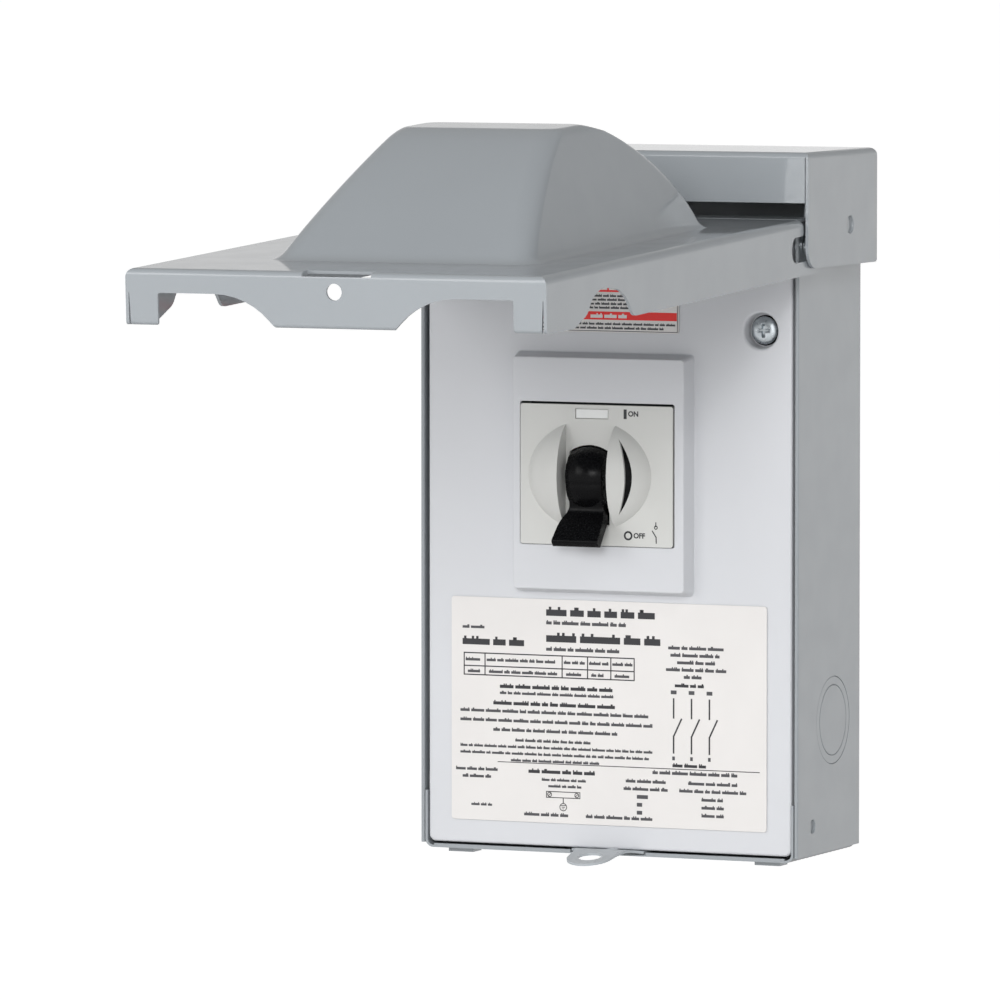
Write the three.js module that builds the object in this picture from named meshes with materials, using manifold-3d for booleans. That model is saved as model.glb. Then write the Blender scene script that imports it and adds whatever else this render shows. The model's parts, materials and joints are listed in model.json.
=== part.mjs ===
// AC disconnect box: a rainproof sheet-metal enclosure with a lift-up lid, a dead front and a
// toggle-operated three-pole switch. Millimetres, +Z up, front towards -Y, origin at the middle
// of the wall face. The lid is drawn open, the toggle is drawn down (off).
import * as THREE from 'three';
import { mergeVertices } from 'three/addons/utils/BufferGeometryUtils.js';
import Module from 'manifold-3d';

const wasm = await Module();
wasm.setup();

// ---------------------------------------------------------------- driving dimensions
const GAP = 0.3;                 // between pieces that touch
const SHEET = 1.2;               // painted steel sheet
const CUT = 1;                   // how far a cutting tool runs past the face it cuts

const HALF_W = 85;               // enclosure half width
const BOX_D = 70.2;              // enclosure depth
const BOTTOM = -145.4;           // underside of the enclosure
const TOP = 145.4;               // top of the hood
const BACK_TOP = 143.6;          // top edge of the back plate
const HEM = { wide: 1.7, deep: 6, top: 110 };

const HOOD = { half: 91.6, depth: 76.3, wingBottom: 97.8, lipBottom: 124.7, corner: 8.5 };

const LID = {
  half: 89.9, length: 263.7, flange: 23.1, frontDepth: 22.2, droop: 2.63,
  hingeY: -77.25, hingeZ: 118.1, tongue: 12, tongueHalf: 87.5,
};
const DOME = { height: 47.5, baseBack: 37, baseFront: 220, topBack: 117, topFront: 149.4 };
const DOME_HALF = { base: 56.8, top: 35.6 };
const DOME_MIDDLE = { base: 8, top: 10.7 };   // the dome sits right of the lid's centre
const SWING = { pinY: -62.64, pinZ: 106.76, pinDepth: 12, pinR: 3.7, slotHalf: 5.3, slotEnd: 13.2 };

const FRONT = { half: 81.7, y: -69.2, bottom: -144.9, top: 112, thick: 1.4, fold: 7.7, corner: 3 };
const BEZEL = { x0: -39.8, x1: 36.4, z0: -36.7, z1: 59.1, y: -76.7, draft: 1.9, wall: 1.6 };
const OPENING = { x0: -37.3, x1: 32.7, z0: -18.9, z1: 40.9 };
const SCREW = { x: 67.8, z: 71.7, cupR: 7.4, cupDepth: 6, headR: 5.8, washerR: 6.3 };

const PLATE = { x0: -36.7, x1: 31.7, z0: -18.3, z1: 39.9, y: -76.4, thick: 2.5 };
const TOGGLE = { x: -5.5, y: -73.2, z: 10.6, r: 12.5, endR: 9.5, half: 8.3, axleR: 2.1 };
const WELL = { margin: 0.6, bottom: -9.8, top: 24 };   // the opening the toggle turns in
const GUARD = { semiX: 29, semiZ: 24.2, semiY: 16, sink: 5, left: -16.2, right: 5.9 };

const CASE = { x0: -36.3, x1: 31.7, z0: -33, z1: 55, front: -66, back: -16, wall: 2.2 };
const POLES = [-22.3, -2.3, 17.7];
const CONTACT_Y = -41.2;         // front face of the fixed contacts
const KNOCKOUT = { y: -31.4, z: -91.2, slugR: 14.5, ringR: 18.3 };
const RAIL_Z = 11;

// ---------------------------------------------------------------- paints and metals
const finish = (color, roughness, metalness) => ({ color, roughness, metalness });
const PAINT = finish(0xa9b3b8, 0.35, 0.1);
const PALE_PAINT = finish(0xd9dce1, 0.45, 0);
const IVORY = finish(0xdedfd8, 0.5, 0);
const BLACK = finish(0x151518, 0.35, 0);
const CASE_GREY = finish(0x3b3e42, 0.6, 0);
const PAPER = finish(0xece8e4, 0.7, 0);
const ZINC = finish(0xb9bcc0, 0.35, 0.9);
const COPPER = finish(0xb0703c, 0.35, 0.9);
const CLEAR = finish(0xeef1f3, 0.2, 0);

// ---------------------------------------------------------------- solid helpers
function solid(geometry) {
  geometry.deleteAttribute('normal');
  geometry.deleteAttribute('uv');
  const merged = mergeVertices(geometry, 1e-4);
  return new wasm.Manifold(new wasm.Mesh({
    numProp: 3,
    vertProperties: new Float32Array(merged.attributes.position.array),
    triVerts: new Uint32Array(merged.index.array),
  }));
}

function box(x0, x1, y0, y1, z0, z1) {
  const g = new THREE.BoxGeometry(x1 - x0, y1 - y0, z1 - z0);
  g.translate((x0 + x1) / 2, (y0 + y1) / 2, (z0 + z1) / 2);
  return solid(g);
}

// A cylinder along one axis, from its start point.
function cylinder(axis, r, start, length, segments = 32) {
  const g = new THREE.CylinderGeometry(r, r, length, segments);
  g.translate(0, length / 2, 0);
  if (axis === 'x') g.rotateZ(-Math.PI / 2);
  if (axis === 'z') g.rotateX(Math.PI / 2);
  g.translate(start[0], start[1], start[2]);
  return solid(g);
}

// A closed outline through corner points [a, b, radius]; a radius rounds its corner.
function outline(points) {
  const shape = new THREE.Shape();
  const at = (i) => new THREE.Vector2(...points[(i + points.length) % points.length]);
  points.forEach(([a, b, r = 0], i) => {
    const here = new THREE.Vector2(a, b);
    const into = at(i - 1).sub(here).setLength(r).add(here);
    const out = at(i + 1).sub(here).setLength(r).add(here);
    if (i === 0) shape.moveTo(into.x, into.y);
    else shape.lineTo(into.x, into.y);
    if (r > 0) shape.quadraticCurveTo(a, b, out.x, out.y);
  });
  return shape;
}

function extrude(shape, from, to, axes, curveSegments) {
  const g = new THREE.ExtrudeGeometry(shape, { depth: to - from, bevelEnabled: false, curveSegments });
  g.applyMatrix4(new THREE.Matrix4().makeBasis(...axes));
  return g;
}

const UNIT_X = new THREE.Vector3(1, 0, 0);
const UNIT_Y = new THREE.Vector3(0, 1, 0);
const UNIT_Z = new THREE.Vector3(0, 0, 1);

// Outlines drawn in (y, z), (x, z) and (x, y), made thick along the axis that is left.
function slabX(shape, x0, x1, curveSegments = 5) {
  return solid(extrude(shape, x0, x1, [UNIT_Y, UNIT_Z, UNIT_X], curveSegments).translate(x0, 0, 0));
}
function slabY(shape, y0, y1, curveSegments = 5) {
  const back = UNIT_Y.clone().negate();
  return solid(extrude(shape, y0, y1, [UNIT_X, UNIT_Z, back], curveSegments).translate(0, y1, 0));
}
function slabZ(shape, z0, z1, curveSegments = 5) {
  return solid(extrude(shape, z0, z1, [UNIT_X, UNIT_Y, UNIT_Z], curveSegments).translate(0, 0, z0));
}

// A closed skin through rings of equal length, with flat ends.
function loft(rings) {
  const count = rings[0].length;
  const positions = [];
  const put = (...ps) => ps.forEach((p) => positions.push(p[0], p[1], p[2]));
  for (let k = 0; k + 1 < rings.length; k += 1) {
    for (let i = 0; i < count; i += 1) {
      const j = (i + 1) % count;
      put(rings[k][i], rings[k][j], rings[k + 1][j]);
      put(rings[k][i], rings[k + 1][j], rings[k + 1][i]);
    }
  }
  const last = rings[rings.length - 1];
  for (let i = 1; i + 1 < count; i += 1) {
    put(rings[0][0], rings[0][i + 1], rings[0][i]);
    put(last[0], last[i], last[i + 1]);
  }
  const g = new THREE.BufferGeometry();
  g.setAttribute('position', new THREE.BufferAttribute(new Float32Array(positions), 3));
  return solid(g);
}

function join(...parts) {
  return parts.reduce((all, part) => all.add(part));
}
function cut(body, ...tools) {
  return tools.reduce((left, tool) => left.subtract(tool), body);
}
const mirrorX = (body) => body.mirror([1, 0, 0]);
const bothSides = (right) => join(right, mirrorX(right));

const group = new THREE.Group();
function piece(name, body, look, parent = group) {
  const { vertProperties, triVerts } = body.getMesh();
  const g = new THREE.BufferGeometry();
  g.setAttribute('position', new THREE.BufferAttribute(new Float32Array(vertProperties), 3));
  g.setIndex(new THREE.BufferAttribute(new Uint32Array(triVerts), 1));
  g.computeVertexNormals();
  const mesh = new THREE.Mesh(g, new THREE.MeshStandardMaterial(look));
  mesh.name = name;
  parent.add(mesh);
  return mesh;
}

// ---------------------------------------------------------------- enclosure
const FRONT_Y = -BOX_D;
const CLINCH = { y: -53.6, z: -133.6, r: 3.3 };
const HOOD_CLINCH = { y: -29.9, z: 114.3, r: 4.15 };
const WALL_HOLES = [[-55, -126], [55, -126], [0, 122]];
const BACK_SLUG = { x: 32, z: -100 };
const RAIL_SCREWS = [-50, 45];

function sideWall() {
  const shoulder = SWING.pinZ + SWING.pinDepth - 3.4;
  const wall = slabX(outline([
    [0, BOTTOM], [FRONT_Y, BOTTOM], [FRONT_Y, shoulder - 3.4, 1.5], [-66, shoulder + 0.8, 1.5],
    [-61.5, shoulder + 0.8], [-61.5, BACK_TOP, 4], [0, BACK_TOP],
  ]), HALF_W - SHEET, HALF_W);
  const r = HEM.wide / 2;
  const hem = join(
    box(HALF_W - HEM.wide, HALF_W, FRONT_Y + r, FRONT_Y + HEM.deep, BOTTOM, HEM.top),
    cylinder('z', r, [HALF_W - r, FRONT_Y + r, BOTTOM], HEM.top - BOTTOM, 16),
  );
  const edge = box(HALF_W - 2, HALF_W + CUT, FRONT_Y - CUT, FRONT_Y + r, BOTTOM, HEM.top);
  const body = join(cut(wall, edge), hem);
  const x = HALF_W - SHEET - CUT;
  return cut(
    body,
    cylinder('x', KNOCKOUT.ringR, [x, KNOCKOUT.y, KNOCKOUT.z], 4, 36),
    cylinder('x', 3.2, [x, SWING.pinY, SWING.pinZ], 4, 24),
    cylinder('x', CLINCH.r + 0.3, [x, CLINCH.y, CLINCH.z], 4, 24),
  );
}

function backBox() {
  const plate = box(-HALF_W, HALF_W, -SHEET, 0, BOTTOM, BACK_TOP);
  const holes = WALL_HOLES.map(([x, z]) => cylinder('y', 3.5, [x, -SHEET - CUT, z], 4, 24));
  const railHoles = RAIL_SCREWS.map((x) => cylinder('y', 2.2, [x, -SHEET - CUT, RAIL_Z], 4, 16));
  const keyhole = box(-2.2, 2.2, -SHEET - CUT, CUT, 122, 130);
  const slugHole = cylinder('y', KNOCKOUT.slugR, [BACK_SLUG.x, -SHEET - CUT, BACK_SLUG.z], 4, 40);
  return join(cut(plate, ...holes, ...railHoles, keyhole, slugHole), sideWall(), mirrorX(sideWall()));
}

const PAN = {
  half: 83, thick: 1, bottom: BOTTOM - 2, flangeTop: -123.5, front: -69.9, back: -SHEET - GAP, lip: 1.7,
};
const FOOT = { x0: 63.5, x1: 74.8, y0: -64.3, y1: -56, drop: 2 };
const PAN_SLUGS = [-36, 36];
const HASP = {
  root: 16.2, rootY: -70.3, endR: 9.7, eyeY: -88.6, eyeR: 5, thick: 1, backY: -42, notch: 17,
};

function bottomPan() {
  const { half, thick, bottom, flangeTop, front, back } = PAN;
  const profile = outline([
    [-half, flangeTop], [-half, bottom, 3.5], [half, bottom, 3.5], [half, flangeTop],
    [half - thick, flangeTop], [half - thick, bottom + thick, 2.5],
    [-half + thick, bottom + thick, 2.5], [-half + thick, flangeTop],
  ]);
  const lip = box(-half + 4, half - 4, front, front + thick, bottom, bottom + PAN.lip);
  const foot = box(FOOT.x0, FOOT.x1, FOOT.y0, FOOT.y1, bottom - FOOT.drop, bottom + thick / 2);
  const slugs = PAN_SLUGS.map((x) => cylinder('z', 11.3, [x, -34, bottom - CUT], 4, 36));
  const clinch = cylinder('x', CLINCH.r + GAP, [-half - CUT, CLINCH.y, CLINCH.z], 2 * half + 2, 24);
  const { notch } = HASP;
  const haspGap = box(-notch, notch, front - CUT, front + 1.5, bottom + 0.6, bottom + 3);
  return cut(join(slabY(profile, front, back), lip, bothSides(foot)), ...slugs, clinch, haspGap);
}

// A strap on the pan's floor that runs out through the lip, narrows and bows down to its eye.
function hasp() {
  const { root, endR, eyeY, eyeR, thick, backY, rootY } = HASP;
  const z = PAN.bottom + PAN.thick + 0.25;
  const under = [[backY, 0], [rootY, 0], [-74.5, 0.6], [-84, 0.05], [-99.5, -3.4]];
  const over = under.map(([y, rise]) => [y, rise + thick]).reverse();
  const side = slabX(outline([...under, ...over].map(([y, rise]) => [y, z + rise])), -root, root);
  const plan = new THREE.Shape();
  plan.moveTo(-root, backY - 1);
  plan.lineTo(-root, rootY);
  plan.quadraticCurveTo(-endR - 0.5, rootY - 5.2, -endR, eyeY);
  plan.absarc(0, eyeY, endR, Math.PI, 2 * Math.PI, false);
  plan.quadraticCurveTo(endR + 0.5, rootY - 5.2, root, rootY);
  plan.lineTo(root, backY - 1);
  plan.closePath();
  const blank = slabZ(plan, BOTTOM - 15, BOTTOM + 8, 16);
  return cut(side.intersect(blank), cylinder('z', eyeR, [0, eyeY, BOTTOM - 16], 30, 32));
}

function topHood() {
  const { half, depth, wingBottom, lipBottom, corner } = HOOD;
  const profile = outline([
    [-half, wingBottom], [-half, TOP, 2.4], [half, TOP, 2.4], [half, wingBottom],
    [half - SHEET, wingBottom], [half - SHEET, TOP - SHEET, 1.2],
    [-half + SHEET, TOP - SHEET, 1.2], [-half + SHEET, wingBottom],
  ].reverse());
  const side = slabX(outline([
    [0, wingBottom], [-depth, wingBottom, corner], [-depth, TOP, 2.4], [0, TOP, 4],
  ]), -half - CUT, half + CUT);
  const lip = box(-half + SHEET / 2, half - SHEET / 2, -depth, -depth + SHEET, lipBottom, TOP - 1.5);
  const { y, z, r } = HOOD_CLINCH;
  const hole = cylinder('x', r + GAP, [-half - CUT, y, z], 2 * half + 2, 28);
  return cut(join(slabY(profile, -depth, 0), lip).intersect(side), hole);
}

function hoodClinch() {
  const { y, z, r } = HOOD_CLINCH;
  const x0 = HALF_W + GAP;
  const x1 = HOOD.half - 0.15;
  const dish = solid(new THREE.SphereGeometry(7, 24, 14).translate(x1 + 5.8, y, z));
  return cut(cylinder('x', r, [x0, y, z], x1 - x0, 20), dish);
}

function panClinch() {
  const x0 = PAN.half - PAN.thick - 0.6;
  const x1 = HALF_W + 0.25;
  const dish = solid(new THREE.SphereGeometry(5, 24, 14).translate(x1 + 4.1, CLINCH.y, CLINCH.z));
  return cut(cylinder('x', CLINCH.r, [x0, CLINCH.y, CLINCH.z], x1 - x0, 18), dish);
}

function sideSlug() {
  return cylinder('x', KNOCKOUT.slugR, [HALF_W - SHEET, KNOCKOUT.y, KNOCKOUT.z], SHEET - 0.15, 30);
}
function sideRing() {
  const x = HALF_W - SHEET;
  const ring = cylinder('x', KNOCKOUT.ringR - GAP, [x, KNOCKOUT.y, KNOCKOUT.z], SHEET - 0.15, 36);
  return cut(ring, cylinder('x', KNOCKOUT.slugR + GAP, [x - CUT, KNOCKOUT.y, KNOCKOUT.z], 4, 30));
}

// ---------------------------------------------------------------- lid, drawn flat
// x across, y = -(distance from the hinge edge), z = -(depth below the outer face).
function domeRing(t, inset) {
  const bulge = (p, q) => (1 - t ** p) ** (1 / q);
  const half = DOME_HALF.top + (DOME_HALF.base - DOME_HALF.top) * (1 - t) - inset;
  const middle = DOME_MIDDLE.base + (DOME_MIDDLE.top - DOME_MIDDLE.base) * t;
  const front = DOME.topFront + (DOME.baseFront - DOME.topFront) * bulge(1.15, 1.15) - inset;
  const back = DOME.topBack - (DOME.topBack - DOME.baseBack) * bulge(1.6, 1.4) + inset;
  const r = 10 - inset;
  const z = t * DOME.height - inset;
  const ring = [];
  [[1, back, 0], [-1, back, 1], [-1, front, 2], [1, front, 3]].forEach(([side, edge, turn]) => {
    const cx = middle + side * (half - r);
    const cy = -edge + (edge === front ? r : -r);
    for (let k = 0; k <= 4; k += 1) {
      const a = (turn + k / 4) * (Math.PI / 2);
      ring.push([cx + r * Math.cos(a), cy + r * Math.sin(a), z]);
    }
  });
  return ring;
}

function dome(inset) {
  const levels = [0, 0.18, 0.36, 0.54, 0.7, 0.83, 0.93, 1];
  const foot = domeRing(0, inset).map(([x, y]) => [x, y, inset ? -SHEET - CUT : -SHEET / 2]);
  return loft([foot, ...levels.map((t) => domeRing(t, inset))]);
}

function lidFlange() {
  const { length, flange, frontDepth } = LID;
  const { pinDepth, slotHalf, slotEnd, pinR } = SWING;
  const catchFront = 14.07 + pinR + 0.5;
  const shape = outline([
    [0, 0, 2.5], [0, -(pinDepth - slotHalf), 1.5], [-slotEnd, -(pinDepth - slotHalf), 5.2],
    [-slotEnd, -(pinDepth + slotHalf), 5.2], [catchFront, -(pinDepth + slotHalf), 2],
    [catchFront, -6.7, 1], [catchFront + 6.5, -6.7, 4], [catchFront + 6.5, -flange, 6],
    [-178.5, -flange, 3], [-187, -12, 9], [-210, -8.8, 6], [-220, -13, 3.5], [-223.5, -18, 2.5],
    [-237, -flange + 0.4, 2], [-length, -frontDepth, 3], [-length, 0],
  ].reverse());
  return slabX(shape, LID.half - SHEET, LID.half, 6);
}

function lidLip() {
  const { half, frontDepth, length } = LID;
  const right = [
    [half, 0], [half, -frontDepth, 1], [76, -frontDepth, 1], [76, -9.45, 1], [37.5, -9.45, 14],
    [25.2, -22.6, 0.8],
  ];
  const left = right.map(([x, z, r]) => [-x, z, r]).reverse();
  return slabY(outline([...right, ...left].reverse()), -length, -length + SHEET, 6);
}

function lid() {
  const { half, length, tongue, tongueHalf } = LID;
  const panel = box(-half, half, -length, 0, -SHEET, 0);
  const rain = box(-tongueHalf, tongueHalf, -1, tongue, -SHEET, 0);
  const shell = join(panel, rain, dome(0), bothSides(lidFlange()), lidLip());
  const eye = cylinder('y', 3.3, [0, -length - CUT, -7.75], 4, 28);
  const haspSlot = box(-13.8, 15.8, -length - CUT, -length + 5.7, -1.9, CUT);
  return cut(shell, dome(1.3), eye, haspSlot);
}

function hingePin() {
  const { pinY, pinZ, pinR } = SWING;
  return join(
    cylinder('x', 4.6, [HALF_W - HEM.wide - GAP - 1, pinY, pinZ], 1, 16),
    cylinder('x', 2.8, [HALF_W - HEM.wide - 1, pinY, pinZ], 4, 16),
    cylinder('x', pinR, [HALF_W + GAP, pinY, pinZ], LID.half + 0.2 - HALF_W - GAP, 20),
  );
}

// ---------------------------------------------------------------- dead front
function frustum(x0, x1, z0, z1, draft, yBase, yTop) {
  const ring = (d, y) => [
    [x0 - d, y, z0 - d], [x1 + d, y, z0 - d], [x1 + d, y, z1 + d], [x0 - d, y, z1 + d],
  ];
  return loft([ring(draft, yBase), ring(0, yTop)]);
}

function roundedPlate(x0, x1, z0, z1, r, y0, y1) {
  return slabY(outline([[x0, z0, r], [x1, z0, r], [x1, z1, r], [x0, z1, r]]), y0, y1, 4);
}

function deadFront() {
  const { half, y, bottom, top, thick, fold, corner } = FRONT;
  const tray = roundedPlate(-half, half, bottom, top, corner, y, y + fold);
  const inner = half - thick;
  const inside = roundedPlate(-inner, inner, bottom + thick, top - thick, 2, y + thick, y + fold + CUT);
  const b = BEZEL;
  const raised = frustum(b.x0, b.x1, b.z0, b.z1, b.draft, y + 0.5, b.y);
  const w = b.wall;
  const hollow = frustum(b.x0 + w, b.x1 - w, b.z0 + w, b.z1 - w, b.draft, y + thick + CUT, b.y + w);
  const window = box(OPENING.x0, OPENING.x1, b.y - CUT, y + 4, OPENING.z0, OPENING.z1);
  const cupFloor = y + SCREW.cupDepth;
  const cup = cylinder('y', SCREW.cupR + thick, [SCREW.x, y + 0.5, SCREW.z], SCREW.cupDepth + 0.9, 36);
  const cupHollow = cylinder('y', SCREW.cupR, [SCREW.x, y - CUT, SCREW.z], SCREW.cupDepth + CUT, 36);
  const hole = cylinder('y', 2.8, [SCREW.x, cupFloor - CUT, SCREW.z], 4, 20);
  return cut(join(cut(join(cut(tray, inside), raised), hollow, window), cup), cupHollow, hole);
}

function phillipsScrew(x, z, faceY, headR, headT, shankR, length) {
  const head = cylinder('y', headR, [x, faceY, z], headT, 18);
  const shank = cylinder('y', shankR, [x, faceY + headT - 0.2, z], length, 10);
  const arm = headR * 0.62;
  const blade = headR * 0.16;
  const cross = [
    box(x - arm, x + arm, faceY - CUT, faceY + headT * 0.5, z - blade, z + blade),
    box(x - blade, x + blade, faceY - CUT, faceY + headT * 0.5, z - arm, z + arm),
  ];
  return cut(join(head, shank), ...cross);
}

const CUP_FLOOR = FRONT.y + SCREW.cupDepth;
const LEDGE_Y = FRONT.y + FRONT.fold + GAP;

function deadFrontScrew() {
  return phillipsScrew(SCREW.x, SCREW.z, CUP_FLOOR - 3.4, SCREW.headR, 2.2, 2.4, 13);
}
function screwWasher() {
  const disc = cylinder('y', SCREW.washerR, [SCREW.x, CUP_FLOOR - 0.9, SCREW.z], 0.6, 32);
  return cut(disc, cylinder('y', 2.8, [SCREW.x, CUP_FLOOR - 3, SCREW.z], 5, 20));
}

function ledge(z0, z1, reach) {
  const x1 = HALF_W - SHEET - GAP;
  return join(
    box(x1 - reach, x1, LEDGE_Y, LEDGE_Y + SHEET, z0, z1),
    box(x1 - SHEET, x1, LEDGE_Y, LEDGE_Y + 14, z0, z1),
  );
}
function screwBracket() {
  return cut(ledge(60, 84, 27), cylinder('y', 2.8, [SCREW.x, LEDGE_Y - CUT, SCREW.z], 4, 20));
}

// ---------------------------------------------------------------- switch front
function guardBlank() {
  const g = new THREE.SphereGeometry(1, 40, 24);
  g.scale(GUARD.semiX, GUARD.semiY, GUARD.semiZ);
  g.translate(TOGGLE.x, PLATE.y + GUARD.sink, TOGGLE.z);
  const front = box(-60, 60, -110, PLATE.y + 1, -60, 80);
  const channel = box(GUARD.left, GUARD.right, -110, PLATE.y, -60, 80);
  return cut(solid(g).intersect(front), channel);
}

// A crescent in plan, thick at the toggle's height and pointed above and below it.
function crescent(tipX, tipZ, outer, inner) {
  const shape = new THREE.Shape();
  shape.moveTo(tipX, TOGGLE.z - tipZ);
  shape.quadraticCurveTo(outer, TOGGLE.z, tipX, TOGGLE.z + tipZ);
  shape.quadraticCurveTo(inner, TOGGLE.z, tipX, TOGGLE.z - tipZ);
  return shape;
}
const lockSlot = () => slabY(crescent(9.2, 15.8, 22.6, 17), -110, PLATE.y + 1, 10);
const lockInsert = () => slabY(crescent(10.45, 13.6, 20.3, 16.5), PLATE.y - 3.4, PLATE.y + 0.6, 10);

function faceplate() {
  const p = PLATE;
  const back = p.y + p.thick;
  const plate = box(p.x0, p.x1, p.y, back, p.z0, p.z1);
  const lugs = [[-20, -15], [4.6, 9.6]].map(([x0, x1]) => box(x0, x1, back - 0.5, -66.5, 5, 16));
  const reach = TOGGLE.half + WELL.margin;
  const well = box(TOGGLE.x - reach, TOGGLE.x + reach, p.y - CUT, back + CUT, WELL.bottom, WELL.top);
  const axle = cylinder('x', TOGGLE.axleR + 0.4, [-19, TOGGLE.y, TOGGLE.z], 27.4, 20);
  const window = box(-12, 2.8, p.y - CUT, p.y + 1.2, 34.1, 38.3);
  return cut(join(plate, guardBlank(), ...lugs), well, axle, lockSlot(), window);
}

// The thumb paddle below the drum: its side profile cut to a flared plan.
function paddle() {
  const { x, y, z } = TOGGLE;
  const side = outline([
    [y - 5, z - 2], [y - 10.6, z - 6.6, 3], [y - 6.6, z - 14.2, 2], [y - 19.1, z - 26.3, 1],
    [y - 16.4, z - 29.2, 1], [y - 4.6, z - 17.6, 3], [y - 3.6, z - 13], [y - 2, z - 8],
  ]);
  const front = outline([
    [x - 7.6, z], [x - 7.2, z - 13.6], [x - 10.2, z - 18.2], [x - 10.8, z - 32, 2.5],
    [x + 10.4, z - 32, 2.5], [x + 9.4, z - 18.2], [x + 7.2, z - 13.6], [x + 7.6, z],
  ]);
  return slabX(side, x - 12, x + 12, 3).intersect(slabY(front, -100, -60, 3));
}

function toggleHandle() {
  const { x, y, z, r, endR, half, axleR } = TOGGLE;
  const profile = [new THREE.Vector2(0, -half), new THREE.Vector2(endR, -half)];
  [-0.6, -0.25, 0.25, 0.6].forEach((f) => {
    profile.push(new THREE.Vector2(r - (r - endR) * f * f, f * half));
  });
  profile.push(new THREE.Vector2(endR, half), new THREE.Vector2(0, half));
  const drum = solid(new THREE.LatheGeometry(profile, 40).rotateZ(-Math.PI / 2).translate(x, y, z));
  return join(drum, paddle(), cylinder('x', axleR, [-18.6, y, z], 26.6, 20));
}

// ---------------------------------------------------------------- switch body
function switchHousing() {
  const c = CASE;
  const w = c.wall;
  const neck = box(-35.5, 30.5, PLATE.y + PLATE.thick + GAP, c.front + 1, -17, 38.7);
  const body = box(c.x0, c.x1, c.front, c.back, c.z0, c.z1);
  const inside = box(c.x0 + w, c.x1 - w, c.front + w, c.back + CUT, c.z0 + w, c.z1 - w);
  const throat = box(-33.5, 28.5, -80, c.front + w + CUT, -15, 36.7);
  const wire = POLES.map((x) => cylinder('z', 5, [x, -46, c.z0 - CUT], c.z1 - c.z0 + 2, 14));
  const driver = POLES.flatMap((x) => [46, -24].map((z) => (
    cylinder('y', 3.8, [x, c.front - CUT, z], w + 2, 12)
  )));
  return cut(join(neck, body), inside, throat, ...wire, ...driver);
}

function switchBase() {
  const c = CASE;
  const back = -9;
  const slab = box(c.x0, c.x1, c.back + GAP, back, c.z0, c.z1);
  const hook = (s) => {
    const [a, b] = [RAIL_Z + s * 18, RAIL_Z + s * 20.5].sort((p, q) => p - q);
    const [e, f] = [RAIL_Z + s * 15.5, RAIL_Z + s * 19].sort((p, q) => p - q);
    return join(box(-20, 16, back - 0.5, -6, a, b), box(-20, 16, -7.3, -6, e, f));
  };
  return join(slab, hook(1), hook(-1));
}

function dinRail() {
  const hat = slabX(outline([
    [-8.7, RAIL_Z - 17.5], [-8.7, RAIL_Z - 12.5], [-2.5, RAIL_Z - 12.5], [-2.5, RAIL_Z + 12.5],
    [-8.7, RAIL_Z + 12.5], [-8.7, RAIL_Z + 17.5], [-7.7, RAIL_Z + 17.5], [-7.7, RAIL_Z + 13.5],
    [-1.5, RAIL_Z + 13.5], [-1.5, RAIL_Z - 13.5], [-7.7, RAIL_Z - 13.5], [-7.7, RAIL_Z - 17.5],
  ]), -60, 55);
  return cut(hat, ...RAIL_SCREWS.map((x) => cylinder('y', 2.2, [x, -4, RAIL_Z], 5, 16)));
}

// One box terminal with its strip; up is +1 for the line side and -1 for the load side.
function terminal(x, up) {
  const centre = (CASE.z0 + CASE.z1) / 2;
  const z = (d) => centre + up * d;
  const span = (x0, x1, y0, y1, d0, d1) => {
    const [low, high] = [z(d0), z(d1)].sort((p, q) => p - q);
    return box(x0, x1, y0, y1, low, high);
  };
  const lug = span(x - 6.5, x + 6.5, -54, -38.5, 28.5, 41);
  const strip = span(x - 4, x + 4, CONTACT_Y, CONTACT_Y + 1.6, 11, 30);
  const wire = cylinder('z', 3.9, [x, -46, Math.min(z(27), z(43))], 16, 14);
  const thread = cylinder('y', 2.4, [x, -56, z(35)], 8, 10);
  return cut(join(lug, strip), wire, thread);
}

function terminalScrew(x, up) {
  return phillipsScrew(x, (CASE.z0 + CASE.z1) / 2 + up * 35, -60, 3.4, 2.6, 2, 7);
}

function contactCarrier() {
  const bar = box(POLES[0] - 7, POLES[2] + 7, -55, -44.5, 5, 17);
  const windows = POLES.map((x) => box(x - 4.7, x + 4.7, -50.3, -48.2, 4, 18));
  const stem = box(TOGGLE.x - 4, TOGGLE.x + 4, -59.6, -54.5, 6, 16);
  return cut(join(bar, stem), ...windows);
}
const contactBridge = (x) => box(x - 4.3, x + 4.3, -50, -48.5, -1.5, 23.5);

const GROUND = { x0: -62, x1: -20, z: -104, screws: [-54, -41, -28] };
function groundBar() {
  const { x0, x1, z, screws } = GROUND;
  const bar = box(x0, x1, -13, -SHEET - GAP, z - 4.5, z + 4.5);
  const wires = screws.map((x) => cylinder('z', 2.6, [x, -7.5, z - 6], 12, 12));
  const threads = screws.map((x) => cylinder('y', 2.2, [x, -14, z], 6.5, 10));
  return cut(bar, ...wires, ...threads);
}

// ---------------------------------------------------------------- assembly
piece('back_box', backBox(), PAINT);
piece('bottom_pan', bottomPan(), PAINT);
piece('top_hood', topHood(), PAINT);
piece('hasp', hasp(), ZINC);
[['right', (b) => b], ['left', mirrorX]].forEach(([side, place]) => {
  piece(`hood_rivet_${side}`, place(hoodClinch()), PAINT);
  piece(`pan_rivet_${side}`, place(panClinch()), PAINT);
  piece(`knockout_slug_${side}`, place(sideSlug()), PAINT);
  piece(`knockout_ring_${side}`, place(sideRing()), PAINT);
  piece(`hinge_pin_${side}`, place(hingePin()), ZINC);
});
PAN_SLUGS.forEach((x, i) => {
  const slug = cylinder('z', 11, [x, -34, PAN.bottom + 0.1], PAN.thick - 0.1, 36);
  piece(`bottom_knockout_${i + 1}`, slug, PAINT);
});
const backSlug = cylinder('y', KNOCKOUT.slugR - GAP, [BACK_SLUG.x, -SHEET, BACK_SLUG.z], SHEET - 0.1, 40);
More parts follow.
